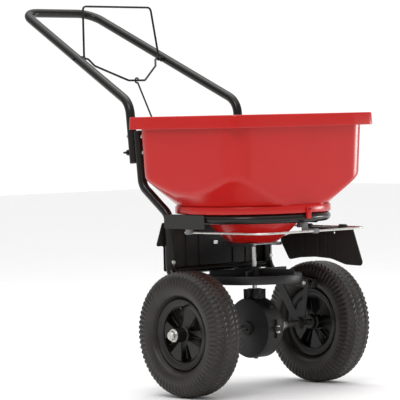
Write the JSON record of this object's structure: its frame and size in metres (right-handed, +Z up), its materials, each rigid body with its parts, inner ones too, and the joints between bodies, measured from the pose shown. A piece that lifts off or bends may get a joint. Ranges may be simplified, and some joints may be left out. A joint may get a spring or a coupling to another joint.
{
  "type": "broadcast spreader",
  "caption": "Push broadcast spreader with a square-topped hopper on a tube frame, a spinner geared from the wheel axle, a side deflector and a hand-pulled gate control.",
  "frame": {"origin": "centre of the bounding box's base, on the ground under the machine", "axes": "+Z up, -Y the way the machine is pushed, +Y towards the handle, +X to the left of the person at the handle"},
  "size_m": [0.613, 1.0525, 1.0485],
  "materials": {
    "hopper_red": "semi-gloss moulded polyethylene",
    "frame_black": "satin powder coat",
    "sheet_black": "satin powder coat",
    "guard_black": "moulded, lightly textured",
    "plastic_black": "moulded, satin",
    "bearing_nylon": "natural nylon",
    "clip_white": "pale moulded plastic",
    "zinc": "zinc plated",
    "shaft_steel": "bright drawn",
    "gear_metal": "sintered, greased",
    "gate_steel": "galvanised sheet",
    "tyre": "moulded black rubber",
    "tube_rubber": "butyl",
    "rim_black": "moulded, satin"
  },
  "bodies": {
    "chassis": {"hopper": "hopper_red", "handle": "frame_black", "left_frame_tube": "frame_black", "right_frame_tube": "frame_black", "loop_tube": "frame_black", "left_side_bracket": "sheet_black", "right_side_bracket": "sheet_black", "rear_shield": "guard_black", "rear_cross_tube": "frame_black", "stand_leg": "frame_black", "stand_feet": "plastic_black", "left_axle_plate": "sheet_black", "right_axle_plate": "sheet_black", "axle_bushings": "plastic_black", "gearbox_upper": "plastic_black", "gearbox_lower": "plastic_black", "gearbox_bolts": "zinc", "gearbox_bushings": "plastic_black", "handle_bolts": "zinc", "handle_knobs": "plastic_black", "frame_bolts": "zinc", "tube_plugs": "plastic_black", "guard_rod": "zinc", "guard_clips": "clip_white", "shaft_bushing": "bearing_nylon", "gate_guides": "plastic_black", "lever_bracket": "sheet_black", "bail_bushings": "plastic_black"},
    "drive_axle": {"axle": "shaft_steel", "crown_gear": "gear_metal", "axle_collars": "zinc", "hub_washers": "zinc", "axle_nuts": "zinc", "drive_pin": "zinc", "left_tyre": "tyre", "left_inner_tube": "tube_rubber", "left_rim_outer": "rim_black", "left_rim_inner": "rim_black"},
    "free_wheel": {"right_tyre": "tyre", "right_inner_tube": "tube_rubber", "right_rim_outer": "rim_black", "right_rim_inner": "rim_black"},
    "spinner_group": {"spinner": "plastic_black", "spinner_shaft": "shaft_steel", "pinion": "gear_metal", "agitator": "shaft_steel"},
    "bail_group": {"bail": "frame_black", "crank_wire": "frame_black"},
    "rod_group": {"control_rod": "frame_black"},
    "lever_group": {"gate_lever": "sheet_black"},
    "gate_group": {"gate_plate": "gate_steel"},
    "deflector_group": {"deflector": "guard_black"}
  },
  "joints": [
    {"name": "axle_spin", "type": "hinge", "parent": "chassis", "child": "drive_axle", "pos_m": [0, -0.28625, 0.165], "axis": [1, 0, 0], "continuous": true},
    {"name": "free_wheel_spin", "type": "hinge", "parent": "chassis", "child": "free_wheel", "pos_m": [-0.2385, -0.28625, 0.165], "axis": [1, 0, 0], "continuous": true},
    {"name": "spinner_spin", "type": "hinge", "parent": "chassis", "child": "spinner_group", "pos_m": [0, -0.28625, 0.3], "axis": [0, 0, 1], "continuous": true},
    {"name": "bail_hinge", "type": "hinge", "parent": "chassis", "child": "bail_group", "pos_m": [0, 0.23175, 0.89631], "axis": [-1, 0, 0], "range_deg": [0, 30]},
    {"name": "rod_hinge", "type": "hinge", "parent": "bail_group", "child": "rod_group", "pos_m": [0, 0.17075, 0.83431], "axis": [-1, 0, 0], "range_deg": [-33, 0]},
    {"name": "lever_hinge", "type": "hinge", "parent": "chassis", "child": "lever_group", "pos_m": [0, -0.11825, 0.434], "axis": [1, 0, 0], "range_deg": [0, 32]},
    {"name": "gate_slide", "type": "slide", "parent": "chassis", "child": "gate_group", "axis": [0, 1, 0], "range_m": [0, 0.023]},
    {"name": "deflector_hinge", "type": "hinge", "parent": "chassis", "child": "deflector_group", "pos_m": [0.2, -0.34625, 0.427], "axis": [0, -1, 0], "range_deg": [0, 75]}
  ],
  "couplings": [
    {"joint": "spinner_spin", "follows": "axle_spin", "ratio": 4},
    {"joint": "rod_hinge", "follows": "bail_hinge", "ratio": -1.067},
    {"joint": "lever_hinge", "follows": "bail_hinge", "ratio": 1.036},
    {"joint": "gate_slide", "follows": "bail_hinge", "m_per_rad": 0.04335}
  ]
}
